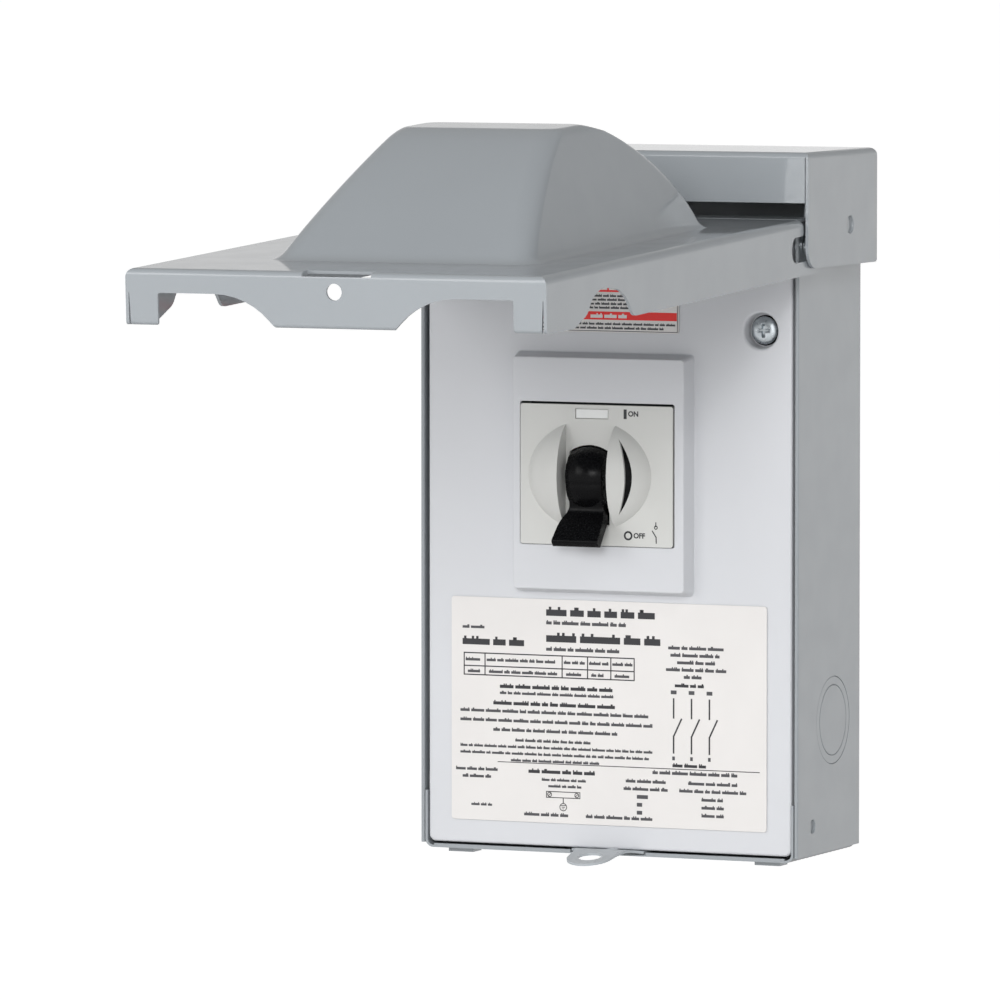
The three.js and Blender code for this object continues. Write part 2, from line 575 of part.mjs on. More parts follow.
piece('back_knockout', backSlug, PAINT);

const lidFrame = new THREE.Group();
lidFrame.position.set(0, LID.hingeY, LID.hingeZ);
lidFrame.rotation.x = THREE.MathUtils.degToRad(LID.droop);
group.add(lidFrame);
piece('lid', lid(), PAINT, lidFrame);

piece('dead_front', deadFront(), PALE_PAINT);
piece('dead_front_screw', deadFrontScrew(), ZINC);
piece('screw_washer', screwWasher(), BLACK);
piece('screw_bracket', screwBracket(), PAINT);
piece('dead_front_ledge', mirrorX(ledge(-40, 40, 9)), PAINT);
const labelY = FRONT.y - GAP;
piece('rating_label', box(-71, 71, labelY - 0.3, labelY, -135.1, -41.8), PAPER);
piece('caution_label', box(-35, 31.5, labelY - 0.3, labelY, 69.7, 103), PAPER);

piece('switch_faceplate', faceplate(), IVORY);
piece('toggle_handle', toggleHandle(), BLACK);
piece('padlock_slot_insert', lockInsert(), BLACK);
piece('indicator_window', box(-11.7, 2.5, PLATE.y + 0.25, PLATE.y + 0.85, 34.4, 38), CLEAR);

piece('switch_housing', switchHousing(), CASE_GREY);
piece('switch_base', switchBase(), CASE_GREY);
piece('din_rail', dinRail(), ZINC);
piece('contact_carrier', contactCarrier(), IVORY);
RAIL_SCREWS.forEach((x, i) => {
  piece(`rail_screw_${i + 1}`, phillipsScrew(x, RAIL_Z, -5.3, 3.6, 2.4, 1.9, 2.6), ZINC);
});
POLES.forEach((x, i) => {
  piece(`contact_bridge_${i + 1}`, contactBridge(x), COPPER);
  piece(`line_terminal_${i + 1}`, terminal(x, 1), COPPER);
  piece(`load_terminal_${i + 1}`, terminal(x, -1), COPPER);
  piece(`line_screw_${i + 1}`, terminalScrew(x, 1), ZINC);
  piece(`load_screw_${i + 1}`, terminalScrew(x, -1), ZINC);
});
piece('ground_bar', groundBar(), COPPER);
GROUND.screws.forEach((x, i) => {
  piece(`ground_screw_${i + 1}`, phillipsScrew(x, GROUND.z, -15.8, 3.4, 2.4, 1.8, 4.8), ZINC);
});

export default group;
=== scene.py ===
"""AC disconnect box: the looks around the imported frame.

Shapes are drawn in millimetres in the row frame (x across, -y to the front, z up) and are
scaled to metres when a piece is made. The lid is drawn flat and then set at its open droop.
"""
import json
import math
import random

import bmesh
import bpy
from mathutils import Matrix, Vector

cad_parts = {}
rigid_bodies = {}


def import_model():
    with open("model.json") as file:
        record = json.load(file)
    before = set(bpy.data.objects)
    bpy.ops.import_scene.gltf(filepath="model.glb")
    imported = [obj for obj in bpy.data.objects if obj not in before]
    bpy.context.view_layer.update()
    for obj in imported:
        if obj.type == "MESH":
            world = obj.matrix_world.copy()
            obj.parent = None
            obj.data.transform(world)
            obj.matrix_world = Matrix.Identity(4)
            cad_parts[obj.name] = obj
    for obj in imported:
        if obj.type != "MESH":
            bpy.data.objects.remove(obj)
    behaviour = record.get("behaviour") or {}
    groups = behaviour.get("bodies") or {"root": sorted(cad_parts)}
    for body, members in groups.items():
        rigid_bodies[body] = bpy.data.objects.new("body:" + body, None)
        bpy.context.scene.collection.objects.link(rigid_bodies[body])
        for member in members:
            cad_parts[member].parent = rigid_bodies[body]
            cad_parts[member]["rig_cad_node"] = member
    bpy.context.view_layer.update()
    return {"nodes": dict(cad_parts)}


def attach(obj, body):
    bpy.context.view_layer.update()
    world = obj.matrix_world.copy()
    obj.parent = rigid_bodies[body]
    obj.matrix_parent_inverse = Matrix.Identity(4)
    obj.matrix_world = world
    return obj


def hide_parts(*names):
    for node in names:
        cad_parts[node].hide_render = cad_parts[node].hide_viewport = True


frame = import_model()

MM = 0.001
SHEET = 1.2
ARC_STEPS = 6
SHARP = math.radians(32)

HALF_W = 85.0
BOX_D = 70.2
BOTTOM = -145.4
PAN_BOTTOM = -147.4
BACK_TOP = 143.6
TOP = 145.4

WALL_IN = HALF_W - SHEET
HOOD_HALF = 91.6
HOOD_DEPTH = 76.3
HOOD_LOW = 97.8
PAN_HALF = 83.0
PAN_FRONT = -69.9
PAN_TOP = -123.5

# Places on the side walls as (y, z), the knockout's radii, and the height of the rail.
KNOCKOUT = (-31.4, -91.2)
SLUG_R = 14.6
RING_R = 18.25
PAN_CLINCH = (-53.6, -133.6)
HOOD_CLINCH = (-29.9, 114.3)
HINGE = (-62.64, 106.76)
RAIL_Z = 11.0

LID_HALF = 89.9
LID_LENGTH = 263.7
LID_DROOP = math.radians(2.63)
LID_SET = Matrix.Translation((0, -77.25, 118.1)) @ Matrix.Rotation(LID_DROOP, 4, "X")

FRONT_Y = -69.2
PLATE_Y = -76.4
TOGGLE = Vector((-5.5, -73.2, 10.6))
SCREW = Vector((67.8, 0, 71.7))
CUP_R = 7.4
CUP_FLOOR = FRONT_Y + 6


# ---------------------------------------------------------------- outlines and solids
def rounded(points, steps=ARC_STEPS):
    """Corners (a, b) or (a, b, setback) as an outline; a setback turns the corner into an arc."""
    line = []
    for i, corner in enumerate(points):
        here = Vector(corner[:2])
        if len(corner) == 2:
            line.append(here)
            continue
        into = (Vector(points[i - 1][:2]) - here).normalized()
        out = (Vector(points[(i + 1) % len(points)][:2]) - here).normalized()
        start = here + into * corner[2]
        end = here + out * corner[2]
        pull = math.sin(into.angle(out) / 2)
        for k in range(steps + 1):
            t = k / steps
            a, b, c = (1 - t) ** 2, 2 * pull * t * (1 - t), t ** 2
            line.append((start * a + here * b + end * c) / (a + b + c))
    return line


def mirrored(points):
    """Right-hand corners from the centre outwards, with the left-hand ones added."""
    return points + [(-p[0], *p[1:]) for p in reversed(points)]


def circle(a, b, radius, count=48):
    turns = [2 * math.pi * k / count for k in range(count)]
    return [Vector((a + radius * math.cos(t), b + radius * math.sin(t))) for t in turns]


def to_object(bm):
    bmesh.ops.recalc_face_normals(bm, faces=bm.faces)
    mesh = bpy.data.meshes.new("shape")
    bm.to_mesh(mesh)
    bm.free()
    shape = bpy.data.objects.new("shape", mesh)
    bpy.context.scene.collection.objects.link(shape)
    return shape


def loft(rings, closed=False):
    """A skin through rings of equal length: capped at both ends, or closed into a loop."""
    bm = bmesh.new()
    rows = [[bm.verts.new(p) for p in ring] for ring in rings]
    count = len(rows[0])
    following = rows[1:] + ([rows[0]] if closed else [])
    for row, after in zip(rows, following):
        for i in range(count):
            j = (i + 1) % count
            bm.faces.new((row[i], row[j], after[j], after[i]))
    if not closed:
        bm.faces.new(rows[0])
        bm.faces.new(rows[-1])
    return to_object(bm)


PLACE = {
    "x": lambda a, b, c: (c, a, b),
    "y": lambda a, b, c: (a, c, b),
    "z": lambda a, b, c: (a, b, c),
}


def prism(outline, axis, low, high):
    """An outline in the two other axes, made solid from low to high along one axis."""
    place = PLACE[axis]
    return loft([[place(a, b, c) for a, b in outline] for c in (low, high)])


def box(x0, x1, y0, y1, z0, z1):
    return prism([(x0, z0), (x1, z0), (x1, z1), (x0, z1)], "y", y0, y1)


def cylinder(axis, a, b, radius, low, high, count=48):
    return prism(circle(a, b, radius, count), axis, low, high)


def lathe(axis, a, b, profile, count=64):
    """A turned solid; profile is (radius, place along the axis) from one end to the other."""
    place = PLACE[axis]
    rings = []
    for radius, c in profile:
        rings.append([place(p.x, p.y, c) for p in circle(a, b, max(radius, 0.01), count)])
    return loft(rings)


def combine(operation, base, tools):
    """Applies one boolean per tool to the base, and removes the tools."""
    for tool in tools:
        step = base.modifiers.new("boolean", "BOOLEAN")
        step.operation = operation
        step.solver = "EXACT"
        step.object = tool
    held = bpy.context.evaluated_depsgraph_get()
    base_mesh = bpy.data.meshes.new_from_object(base.evaluated_get(held))
    base.modifiers.clear()
    base.data = base_mesh
    for tool in tools:
        bpy.data.objects.remove(tool)
    return base


def join(base, *tools):
    return combine("UNION", base, tools)


def cut(base, *tools):
    return combine("DIFFERENCE", base, tools)


def common(base, *tools):
    return combine("INTERSECT", base, tools)


# ---------------------------------------------------------------- pieces
def soften(shape, bevel, segments):
    """Breaks the sharp edges so that they catch light, and keeps flat faces flat."""
    if bevel:
        edge = shape.modifiers.new("edge", "BEVEL")
        edge.width = bevel * MM
        edge.segments = segments
        edge.limit_method = "ANGLE"
        edge.angle_limit = SHARP
    shape.modifiers.new("normals", "WEIGHTED_NORMAL").keep_sharp = True


def shade(shape, material, bevel, segments):
    """A material and smooth shading; own pieces keep their sharp edges sharp."""
    mesh = shape.data
    mesh.materials.clear()
    mesh.materials.append(material)
    mesh.polygons.foreach_set("use_smooth", [True] * len(mesh.polygons))
    if "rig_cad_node" not in shape:
        mesh.set_sharp_from_angle(angle=SHARP)
    soften(shape, bevel, segments)


def piece(shape, name, material, body="root", nodes=(), bevel=0.25, segments=2):
    """Names a solid, scales it to metres, dresses it, and lets it ride in place of CAD nodes."""
    shape.name = name
    shape.data.name = name
    shape.data.transform(Matrix.Scale(MM, 4))
    shade(shape, material, bevel, segments)
    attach(shape, body)
    if nodes:
        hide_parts(*nodes)
    return shape


def dress(nodes, material, bevel=0.2):
    """A finish and softened edges for CAD nodes that are shown as they are."""
    for name in nodes:
        shape = frame["nodes"][name]
        shade(shape, material, bevel, 2)


# ---------------------------------------------------------------- materials
class Surface:
    """A principled material with helpers for its noise."""

    def __init__(self, name, colour, roughness, metallic=0.0):
        self.material = bpy.data.materials.new(name)
        self.material.use_nodes = True
        self.tree = self.material.node_tree
        self.shader = self.tree.nodes["Principled BSDF"]
        self.place = self.tree.nodes.new("ShaderNodeTexCoord").outputs["Object"]
        self.set("Base Color", (*colour, 1))
        self.set("Roughness", roughness)
        self.set("Metallic", metallic)
        self.normal = None

    def set(self, socket, value):
        self.shader.inputs[socket].default_value = value

    def noise(self, scale, detail=3.0, stretch=(1, 1, 1)):
        """Noise by the row frame; scale is in features per metre."""
        mapping = self.tree.nodes.new("ShaderNodeMapping")
        mapping.inputs["Scale"].default_value = stretch
        texture = self.tree.nodes.new("ShaderNodeTexNoise")
        texture.inputs["Scale"].default_value = scale
        texture.inputs["Detail"].default_value = detail
        self.tree.links.new(self.place, mapping.inputs["Vector"])
        self.tree.links.new(mapping.outputs["Vector"], texture.inputs["Vector"])
        return texture.outputs["Fac"]

    def vary(self, socket, source, low, high):
        """Lets noise drive a number between two values."""
        spread = self.tree.nodes.new("ShaderNodeMapRange")
        spread.inputs["From Min"].default_value = 0.35
        spread.inputs["From Max"].default_value = 0.65
        spread.inputs["To Min"].default_value = low
        spread.inputs["To Max"].default_value = high
        self.tree.links.new(source, spread.inputs["Value"])
        self.tree.links.new(spread.outputs["Result"], self.shader.inputs[socket])

    def tint(self, source, first, second):
        """Lets noise drift the colour between two tints."""
        ramp = self.tree.nodes.new("ShaderNodeValToRGB")
        ramp.color_ramp.elements[0].position = 0.35
        ramp.color_ramp.elements[1].position = 0.65
        ramp.color_ramp.elements[0].color = (*first, 1)
        ramp.color_ramp.elements[1].color = (*second, 1)
        self.tree.links.new(source, ramp.inputs["Fac"])
        self.tree.links.new(ramp.outputs["Color"], self.shader.inputs["Base Color"])

    def bump(self, source, height, strength=1.0):
        """Relief from noise; height is in millimetres."""
        relief = self.tree.nodes.new("ShaderNodeBump")
        relief.inputs["Strength"].default_value = strength
        relief.inputs["Distance"].default_value = height * MM
        self.tree.links.new(source, relief.inputs["Height"])
        if self.normal is not None:
            self.tree.links.new(self.normal, relief.inputs["Normal"])
        self.normal = relief.outputs["Normal"]
        self.tree.links.new(self.normal, self.shader.inputs["Normal"])


def shades(colour, spread):
    """A colour a little darker and a little lighter."""
    return [tuple(c * (1 + s * spread) for c in colour) for s in (-1, 1)]


def enamel(name, colour, roughness, drift, coat):
    """Baked paint: a soft gloss with fine orange peel and a faint drift of tone."""
    paint = Surface(name, colour, roughness)
    paint.tint(paint.noise(14, 2), *shades(colour, drift))
    paint.vary("Roughness", paint.noise(60, 4), roughness - 0.04, roughness + 0.05)
    paint.bump(paint.noise(300, 2), 0.003)
    paint.bump(paint.noise(2400, 2), 0.0008)
    paint.set("Specular IOR Level", 0.35)
    paint.set("Coat Weight", coat)
    paint.set("Coat Roughness", 0.06)
    return paint.material


def moulded(name, colour, roughness, grain, gloss=0.3):
    """Moulded plastic with a fine spark-eroded grain; gloss is the strength of its shine."""
    plastic = Surface(name, colour, roughness)
    plastic.tint(plastic.noise(25, 3), *shades(colour, 0.02))
    plastic.vary("Roughness", plastic.noise(900, 3), roughness - 0.05, roughness + 0.06)
    plastic.bump(plastic.noise(3200, 2), grain)
    plastic.set("Specular IOR Level", gloss)
    return plastic.material


def plated(name, colour, roughness, brush):
    """Plated metal: fine scratches along x over a slight mottle."""
    metal = Surface(name, colour, roughness, 1.0)
    metal.tint(metal.noise(220, 4), *shades(colour, 0.08))
    metal.vary("Roughness", metal.noise(500, 4), roughness - 0.08, roughness + 0.12)
    metal.bump(metal.noise(1500, 3, (0.12, 1, 1)), brush)
    return metal.material


def paper(name, colour, roughness):
    """Label film: nearly even in tone, with a slight unevenness of surface."""
    film = Surface(name, colour, roughness)
    film.tint(film.noise(40, 3), *shades(colour, 0.012))
    film.vary("Roughness", film.noise(300, 3), roughness - 0.05, roughness + 0.05)
    film.bump(film.noise(700, 3), 0.004)
    return film.material


GREY = enamel("grey_enamel", (0.295, 0.318, 0.338), 0.36, 0.01, 0.85)
PALE = enamel("pale_enamel", (0.615, 0.625, 0.65), 0.45, 0.008, 0.15)
IVORY = moulded("ivory_plastic", (0.615, 0.617, 0.597), 0.42, 0.002)
BLACK = moulded("black_plastic", (0.0035, 0.0035, 0.004), 0.26, 0.0003, 0.1)
CASE = moulded("case_plastic", (0.045, 0.05, 0.055), 0.5, 0.008)
PAPER = paper("label_film", (0.72, 0.70, 0.685), 0.38)
INK = paper("label_ink", (0.02, 0.02, 0.024), 0.4)
GREYED = paper("label_fine_print", (0.06, 0.06, 0.066), 0.4)
RED = paper("label_red", (0.82, 0.022, 0.018), 0.4)
CLEAR = moulded("window_plastic", (0.80, 0.81, 0.80), 0.16, 0.001)
ZINC = plated("zinc_plate", (0.50, 0.535, 0.56), 0.30, 0.003)
BLUED = enamel("hasp_enamel", (0.42, 0.45, 0.475), 0.4, 0.02, 0.3)
COPPER = plated("copper", (0.80, 0.42, 0.26), 0.30, 0.008)


# ---------------------------------------------------------------- enclosure
def back_box():
    """Back plate and side walls in one sheet, with hemmed front edges and all holes."""
    hem_in = 83.3
    right = [(HALF_W, 0, 2.2), (HALF_W, -BOX_D, 0.84), (hem_in, -BOX_D, 0.84), (hem_in, -64.2, 0.3),
             (WALL_IN, -64.2), (WALL_IN, -SHEET, 1.0)]
    channel = prism(rounded(mirrored(right)), "z", BOTTOM, BACK_TOP)
    shoulder = [(-90, 111.9), (-BOX_D, 111.9), (-66, 116.2, 1.5), (-61.5, 116.2, 1.0), (-61.5, 160),
                (-90, 160)]
    tools = [prism(rounded(shoulder), "x", -90, 90)]
    tools += [cylinder("x", *KNOCKOUT, 18.3, side, side + 4, 96) for side in (-87, 83)]
    tools += [dimple(side, *PAN_CLINCH, 2.8, HALF_W, 0.95) for side in (-1, 1)]
    tools += [cylinder("x", *HINGE, 3.2, side, side + 4) for side in (-87, 83)]
    tools += [cylinder("y", x, z, 3.5, -3, 1) for x, z in ((-55, -126), (55, -126), (0, 122))]
    tools += [cylinder("y", x, RAIL_Z, 2.2, -3, 1) for x in (-50, 45)]
    tools += [box(-2.2, 2.2, -3, 1, 122, 130), cylinder("y", 32, -100, 14.5, -3, 1, 96)]
    return cut(channel, *tools)


def bottom_pan():
    """The floor with upturned sides, a front lip notched for the hasp, and two feet."""
    inside = PAN_HALF - 1
    floor_top = PAN_BOTTOM + 1
    outer = [(-PAN_HALF, PAN_TOP), (-PAN_HALF, PAN_BOTTOM, 3.5), (PAN_HALF, PAN_BOTTOM, 3.5),
             (PAN_HALF, PAN_TOP)]
    inner = [(inside, PAN_TOP), (inside, floor_top, 2.5), (-inside, floor_top, 2.5), (-inside, PAN_TOP)]
    tray = prism(rounded(outer + inner), "y", PAN_FRONT, -1.5)
    lip = box(-79, 79, PAN_FRONT, PAN_FRONT + 1, PAN_BOTTOM, PAN_BOTTOM + 1.7)
    feet = [box(x, x + 11.3, -64.3, -56, PAN_BOTTOM - 2, PAN_BOTTOM + 0.5) for x in (63.5, -74.8)]
    pan = join(tray, lip, *feet)
    tools = [cylinder("z", x, -34, 11.05, PAN_BOTTOM - 1, PAN_BOTTOM + 2, 72) for x in (-36, 36)]
    tools += [cylinder("x", *PAN_CLINCH, 3.45, -84, 84)]
    tools += [box(-17, 17, -71, -68.4, PAN_BOTTOM + 0.6, PAN_BOTTOM + 3)]
    return cut(pan, *tools)


def top_hood():
    """The rain hood: top sheet and wings in one bend, with a front lip."""
    inner = HOOD_HALF - SHEET
    sheet = [(-HOOD_HALF, HOOD_LOW), (-HOOD_HALF, TOP, 2.6), (HOOD_HALF, TOP, 2.6), (HOOD_HALF, HOOD_LOW)]
    inside = [(inner, HOOD_LOW), (inner, TOP - SHEET, 1.4), (-inner, TOP - SHEET, 1.4), (-inner, HOOD_LOW)]
    bend = prism(rounded(sheet + inside), "y", -HOOD_DEPTH, 0)
    outline = [(0, HOOD_LOW, 1.5), (-HOOD_DEPTH, HOOD_LOW, 8.5), (-HOOD_DEPTH, TOP, 2.6), (0, TOP, 4)]
    lip = box(-90.8, 90.8, -HOOD_DEPTH, -75.1, 124.7, 144.9)
    hood = common(join(bend, lip), prism(rounded(outline), "x", -93, 93))
    seams = [box(*sorted((s * 90.05, s * inner)), -77, -73.6, 97, 143.4) for s in (-1, 1)]
    dimples = [dimple(s, *HOOD_CLINCH, 3.6, HOOD_HALF, 1.05) for s in (-1, 1)]
    return cut(hood, *seams, *dimples)


def dimple(side, y, z, radius, face, depth):
    """A tool for the flat-bottomed dimple that a clinch leaves in a side wall."""
    profile = [(radius + 0.3, face + 1), (radius + 0.3, face), (radius, face - 0.2),
               (radius * 0.96, face - depth * 0.8), (radius * 0.88, face - depth), (0, face - depth)]
    return lathe("x", y, z, [(r, side * c) for r, c in profile], 64)


def curve(start, pull, end, steps=10):
    """Points along a quadratic curve, its two ends included."""
    start, pull, end = Vector(start), Vector(pull), Vector(end)
    row = []
    for k in range(steps + 1):
        t = k / steps
        row.append(start * (1 - t) ** 2 + pull * 2 * t * (1 - t) + end * t ** 2)
    return row


HASP_ROOT = 16.2
HASP_END = 9.7
HASP_EYE = -88.6


def hasp():
    """A strap that leaves through the lip, narrows, and bows down to a round end with an eye."""
    z = PAN_BOTTOM + 1.25
    line = curve((-70.5, 0), (-74.3, 1.1), (-79.5, 0.55), 8)
    line += curve((-82, 0.1), (-89, -0.8), (-99.5, -3.4), 8)
    under = [(-42, z)] + [(y, z + rise) for y, rise in line]
    over = [(y, up + 1) for y, up in reversed(under)]
    strap = prism(under + over, "x", -HASP_ROOT, HASP_ROOT)
    side = [(HASP_ROOT, -43)]
    side += [tuple(p) for p in curve((HASP_ROOT, -70.3), (10.2, -75.5), (HASP_END, HASP_EYE))]
    turns = [math.pi * k / 32 for k in range(1, 32)]
    end = [(HASP_END * math.cos(a), HASP_EYE - HASP_END * math.sin(a)) for a in turns]
    plan = side + end + [(-x, y) for x, y in reversed(side)]
    strap = common(strap, prism(plan, "z", BOTTOM - 16, BOTTOM + 9))
    rib = ellipsoid(Vector((3.4, -73.4, z + 0.9)), (3.1, 2.9, 1.3), 40, 20)
    return cut(join(strap, rib), cylinder("z", 0, HASP_EYE, 5, BOTTOM - 16, BOTTOM + 9, 64))


# ---------------------------------------------------------------- lid
DOME_TOP = 47.5
DOME_FILLET = 3.2


# The dome at its foot and at its crown. Its front and back are measured from the hinge edge.
DOME_HALF = (55.3, 35.6)
DOME_MIDDLE = (8.0, 10.7)
DOME_FRONT = (218.5, 149.4)
DOME_BACK = (38.6, 117.0)
DOME_CORNER = 8.6


def dome_ring(t, inset=0.0, flare=0.0, steps=8):
    """One level of the dome; t runs from 0 at the panel to 1 at the crown."""
    def bulge(p, q):
        return max(0.0, 1 - t ** p) ** (1 / q)

    def between(pair, share):
        return pair[1] + (pair[0] - pair[1]) * share

    half = between(DOME_HALF, 1 - t) - inset + flare
    middle = between(DOME_MIDDLE, 1 - t)
    front = between(DOME_FRONT, bulge(1.15, 1.15)) - inset + flare
    back = between(DOME_BACK, bulge(1.6, 1.4)) + inset - flare
    r = DOME_CORNER - inset + flare
    z = t * DOME_TOP - inset
    ring = []
    for side, edge, turn in ((1, back, 0), (-1, back, 1), (-1, front, 2), (1, front, 3)):
        cx = middle + side * (half - r)
        cy = -edge + (r if edge == front else -r)
        for k in range(steps + 1):
            a = (turn + k / steps) * math.pi / 2
            ring.append(Vector((cx + r * math.cos(a), cy + r * math.sin(a), z)))
    return ring


def dome_skin():
    """The outside of the dome, with a fillet at its foot and a rolled edge at its crown."""
    foot = [Vector((p.x, p.y, -0.6)) for p in dome_ring(0, flare=DOME_FILLET)]
    rings = [foot]
    for k in range(7):
        a = k / 6 * math.pi / 2
        z = DOME_FILLET * (1 - math.cos(a))
        flare = DOME_FILLET * (1 - math.sin(a))
        rings.append(dome_ring(z / DOME_TOP, flare=flare))
    rings += [dome_ring(t) for t in (0.1, 0.15, 0.22, 0.3, 0.39, 0.48, 0.57, 0.66, 0.74, 0.81, 0.87)]
    start, edge, crown = dome_ring(0.92), dome_ring(1), dome_ring(1, inset=3.0)
    for k in range(7):
        t = k / 6
        row = []
        for p, q, c in zip(start, edge, crown):
            end = Vector((c.x, c.y, DOME_TOP))
            row.append(p * (1 - t) ** 2 + q * 2 * t * (1 - t) + end * t ** 2)
        rings.append(row)
    return loft(rings)


def dome_hollow():
    """The inside of the dome, open at the panel."""
    foot = [Vector((p.x, p.y, -3)) for p in dome_ring(0, inset=1.3)]
    levels = (0, 0.06, 0.12, 0.2, 0.3, 0.4, 0.5, 0.6, 0.7, 0.8, 0.88, 0.95, 1)
    return loft([foot] + [dome_ring(t, inset=1.3) for t in levels])


# The lid's side flange, with its hinge ears and its notch, and half of its front lip.
LID_FLANGE = [
    (0, 0, 2.5), (0, -6.7, 1.5), (-13.2, -6.7, 5.2), (-13.2, -17.3, 5.2), (18.27, -17.3, 2),
    (18.27, -6.7, 1), (24.77, -6.7, 4), (24.77, -23.1, 6), (-178.5, -23.1, 3), (-187, -12, 9),
    (-210, -8.8, 6), (-220, -13, 3.5), (-223.5, -18, 2.5), (-237, -22.7, 2),
    (-LID_LENGTH, -22.2, 1.5), (-LID_LENGTH, 0, 2.6),
]
LID_LIP = [
    (LID_HALF, 0, 3.4), (LID_HALF, -22.2, 1.0), (76, -22.2, 1.0), (76, -9.45, 1.0), (37.5, -9.45, 14),
    (25.2, -22.6, 0.8),
]


def lid():
    """The lid drawn flat from its hinge edge, then set at its open droop."""
    inner = LID_HALF - SHEET
    sheet = [(-LID_HALF, -30), (-LID_HALF, 0, 3.4), (LID_HALF, 0, 3.4), (LID_HALF, -30)]
    inside = [(inner, -30), (inner, -SHEET, 2.3), (-inner, -SHEET, 2.3), (-inner, -30)]
    channel = prism(rounded(sheet + inside), "y", -LID_LENGTH, 0)
    ear_side = [(-30, -30), (-30, -6), (0.5, -6), (0.5, -30)]
    ears = [prism(ear_side, "x", x, x + SHEET) for x in (-LID_HALF, inner)]
    for ear in ears:
        ear.data.transform(Matrix.Translation((0, 24.27, 0)))
    lip = rounded(LID_LIP + [(-p[0], *p[1:]) for p in reversed(LID_LIP)])
    front = prism(lip, "y", -LID_LENGTH, -LID_LENGTH + SHEET)
    shell = common(join(channel, front, *ears), prism(rounded(LID_FLANGE), "x", -92, 92))
    rain = prism(rounded([(-87.5, 12, 3), (-87.5, -1), (87.5, -1), (87.5, 12, 3)]), "z", -SHEET, 0)
    shell = join(shell, rain, dome_skin())
    tools = [dome_hollow()]
    tools += [cylinder("y", 0, -7.75, 3.3, -LID_LENGTH - 1, -LID_LENGTH + 3)]
    tools += [box(-13.8, 15.8, -LID_LENGTH - 1, -LID_LENGTH + 5.7, -1.9, 1)]
    slit = [(88.6, -9.5), (88.6, -25), (87.5, -25), (88.4, -9.5)]
    for line in (slit, [(-a, b) for a, b in slit]):
        tools += [prism(line, "y", -LID_LENGTH - 1, -LID_LENGTH + 1.3)]
    shell = cut(shell, *tools)
    shell.data.transform(LID_SET)
    return shell


# ---------------------------------------------------------------- dead front
def rect_ring(x0, x1, z0, z1, radius, y, steps=5):
    """A rounded rectangle in the plane at y."""
    ring = []
    corners = ((x1 - radius, z1 - radius), (x0 + radius, z1 - radius), (x0 + radius, z0 + radius),
               (x1 - radius, z0 + radius))
    for turn, (cx, cz) in enumerate(corners):
        for k in range(steps + 1):
            a = (turn + k / steps) * math.pi / 2
            ring.append((cx + radius * math.cos(a), y, cz + radius * math.sin(a)))
    return ring


def grown(rect, by, radius, y):
    x0, x1, z0, z1 = rect
    return rect_ring(x0 - by, x1 + by, z0 - by, z1 + by, max(radius, 0.25), y)


def quarter(steps=5):
    """Sine and cosine through a quarter turn."""
    return [(math.sin(k / steps * math.pi / 2), math.cos(k / steps * math.pi / 2)) for k in range(steps + 1)]


TRAY = (-81.7, 81.7, -144.9, 112.0)
BEZEL = (-39.8, 36.4, -36.7, 59.1)
OPENING = (-36.85, 32.5, -18.5, 40.9)
BEZEL_Y = -76.7


def dead_front():
    """The inner cover in one skin: tray, raised bezel round the switch, and screw cup."""
    bend, foot, roll, lip = 1.1, 0.6, 0.7, 0.35
    rings = [grown(TRAY, 0, 3, FRONT_Y + 7.7)]
    for s, c in quarter():
        rings.append(grown(TRAY, -bend * (1 - c), 3 - bend * (1 - c), FRONT_Y + bend - bend * s))
    for s, c in quarter():
        rings.append(grown(BEZEL, 1.9 + foot * (1 - s), 2.2, FRONT_Y - foot * (1 - c)))
    for s, c in quarter():
        corner = roll * (1 - c)
        rings.append(grown(BEZEL, 0.4 - corner, 1.6 - corner, BEZEL_Y + roll - roll * s))
    for s, c in quarter(3):
        rings.append(grown(OPENING, lip * (1 - s), 1.0 + lip * (1 - s), BEZEL_Y + lip * (1 - c)))
    rings += [grown(OPENING, 0, 1.0, BEZEL_Y + 1.6)]
    rings += [grown(BEZEL, -1.6, 1.0, BEZEL_Y + 1.6)]
    rings += [grown(BEZEL, 0.3, 1.6, FRONT_Y + 1.4)]
    rings += [grown(TRAY, -1.4, 2.0, FRONT_Y + 1.4)]
    rings += [grown(TRAY, -1.4, 2.0, FRONT_Y + 7.7)]
    tray = loft(rings, closed=True)
    cup = cylinder("y", SCREW.x, SCREW.z, 9.2, FRONT_Y + 0.7, CUP_FLOOR + 0.9, 72)
    mouth = 1.2
    profile = [(CUP_R + mouth, FRONT_Y - 2)]
    profile += [(CUP_R + mouth * (1 - s), FRONT_Y + mouth * (1 - c)) for s, c in quarter(7)]
    profile += [(7.1, CUP_FLOOR - 1.2), (6.9, CUP_FLOOR - 0.3), (6.4, CUP_FLOOR)]
    hollow = lathe("y", SCREW.x, SCREW.z, profile, 72)
    hole = cylinder("y", SCREW.x, SCREW.z, 2.8, CUP_FLOOR - 2, CUP_FLOOR + 3)
    return cut(join(tray, cup), hollow, hole)


